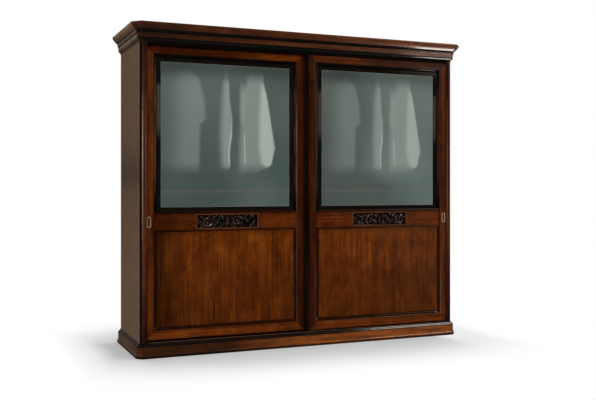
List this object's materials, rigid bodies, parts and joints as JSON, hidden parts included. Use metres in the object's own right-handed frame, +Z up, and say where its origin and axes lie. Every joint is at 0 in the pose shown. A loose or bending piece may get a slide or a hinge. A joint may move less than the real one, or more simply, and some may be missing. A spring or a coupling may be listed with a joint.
{
  "type": "sliding door wardrobe",
  "caption": "Traditional wardrobe with sliding doors: satin glass over raised panels, carved mid rails, canted corner posts, stepped cornice and plinth, hanging rails and hat shelves inside.",
  "frame": {"origin": "middle of the bounding box's footprint, on the floor", "axes": "+X to the right seen from the front, -Y out of the front, +Z up"},
  "size_m": [2.86, 0.814, 2.507],
  "materials": {
    "cherry_frame": "polished, mottled antique stain",
    "dark_stile": "polished dark red-brown stain",
    "cherry_panel": "polished vertical veneer, mottled",
    "side_veneer": "polished vertical veneer",
    "black_lacquer": "gloss black lacquer",
    "inner_board": "satin laminated board",
    "satin_glass": "satin etched with a clear border",
    "brass": "aged, brushed",
    "aluminium": "extruded, satin",
    "steel": "zinc plated",
    "nylon": "moulded"
  },
  "bodies": {
    "carcass": {"side_panel_left": "side_veneer", "side_panel_right": "side_veneer", "corner_post_left": "cherry_frame", "corner_post_right": "cherry_frame", "top_panel": "inner_board", "bottom_panel": "inner_board", "center_divider": "inner_board", "back_panels": "inner_board", "cornice_front": "cherry_frame", "cornice_side_left": "cherry_frame", "cornice_side_right": "cherry_frame", "cornice_corner_blocks": "cherry_frame", "top_pelmet": "black_lacquer", "plinth_front": "cherry_frame", "plinth_side_left": "cherry_frame", "plinth_side_right": "cherry_frame", "plinth_corner_blocks": "cherry_frame", "plinth_back_rail": "inner_board", "plinth_bearers": "inner_board", "levelling_feet": "nylon", "top_track": "aluminium", "bottom_track": "aluminium", "track_end_stops": "nylon", "hanging_rail_left": "steel", "hanging_rail_right": "steel", "rail_sockets": "steel", "hat_shelf_left": "inner_board", "hat_shelf_right": "inner_board", "shelf_pins": "steel"},
    "left_door": {"left_door_outer_stile": "cherry_frame", "left_door_inner_stile": "dark_stile", "left_door_top_rail": "cherry_frame", "left_door_mid_rail": "cherry_frame", "left_door_bottom_rail": "cherry_frame", "left_door_lap_strip": "dark_stile", "left_door_cove_moulding": "black_lacquer", "left_door_glass_pane": "satin_glass", "left_door_lower_panel": "cherry_panel", "left_door_carved_plaque": "black_lacquer", "left_door_flush_pull": "brass", "left_door_hangers": "steel", "left_door_guide_shoes": "nylon"},
    "left_door_roller_inner": {"left_door_roller_inner": "nylon"},
    "left_door_roller_outer": {"left_door_roller_outer": "nylon"},
    "right_door": {"right_door_outer_stile": "cherry_frame", "right_door_inner_stile": "dark_stile", "right_door_top_rail": "cherry_frame", "right_door_mid_rail": "cherry_frame", "right_door_bottom_rail": "cherry_frame", "right_door_lap_strip": "dark_stile", "right_door_cove_moulding": "black_lacquer", "right_door_glass_pane": "satin_glass", "right_door_lower_panel": "cherry_panel", "right_door_carved_plaque": "black_lacquer", "right_door_flush_pull": "brass", "right_door_hangers": "steel", "right_door_guide_shoes": "nylon"},
    "right_door_roller_inner": {"right_door_roller_inner": "nylon"},
    "right_door_roller_outer": {"right_door_roller_outer": "nylon"}
  },
  "joints": [
    {"name": "left_door_slide", "type": "slide", "parent": "carcass", "child": "left_door", "axis": [1, 0, 0], "range_m": [0, 1.3]},
    {"name": "right_door_slide", "type": "slide", "parent": "carcass", "child": "right_door", "axis": [1, 0, 0], "range_m": [-1.3, 0]},
    {"name": "left_roller_inner_spin", "type": "hinge", "parent": "left_door", "child": "left_door_roller_inner", "pos_m": [-0.061, -0.2615, 2.3813], "axis": [0, 1, 0], "range_deg": [0, 6210]},
    {"name": "left_roller_outer_spin", "type": "hinge", "parent": "left_door", "child": "left_door_roller_outer", "pos_m": [-1.261, -0.2615, 2.3813], "axis": [0, 1, 0], "range_deg": [0, 6210]},
    {"name": "right_roller_inner_spin", "type": "hinge", "parent": "right_door", "child": "right_door_roller_inner", "pos_m": [0.061, -0.3065, 2.3813], "axis": [0, 1, 0], "range_deg": [-6210, 0]},
    {"name": "right_roller_outer_spin", "type": "hinge", "parent": "right_door", "child": "right_door_roller_outer", "pos_m": [1.261, -0.3065, 2.3813], "axis": [0, 1, 0], "range_deg": [-6210, 0]}
  ],
  "couplings": [
    {"joint": "left_roller_inner_spin", "follows": "left_door_slide", "rad_per_m": 83.333},
    {"joint": "left_roller_outer_spin", "follows": "left_door_slide", "rad_per_m": 83.333},
    {"joint": "right_roller_inner_spin", "follows": "right_door_slide", "rad_per_m": 83.333},
    {"joint": "right_roller_outer_spin", "follows": "right_door_slide", "rad_per_m": 83.333}
  ]
}
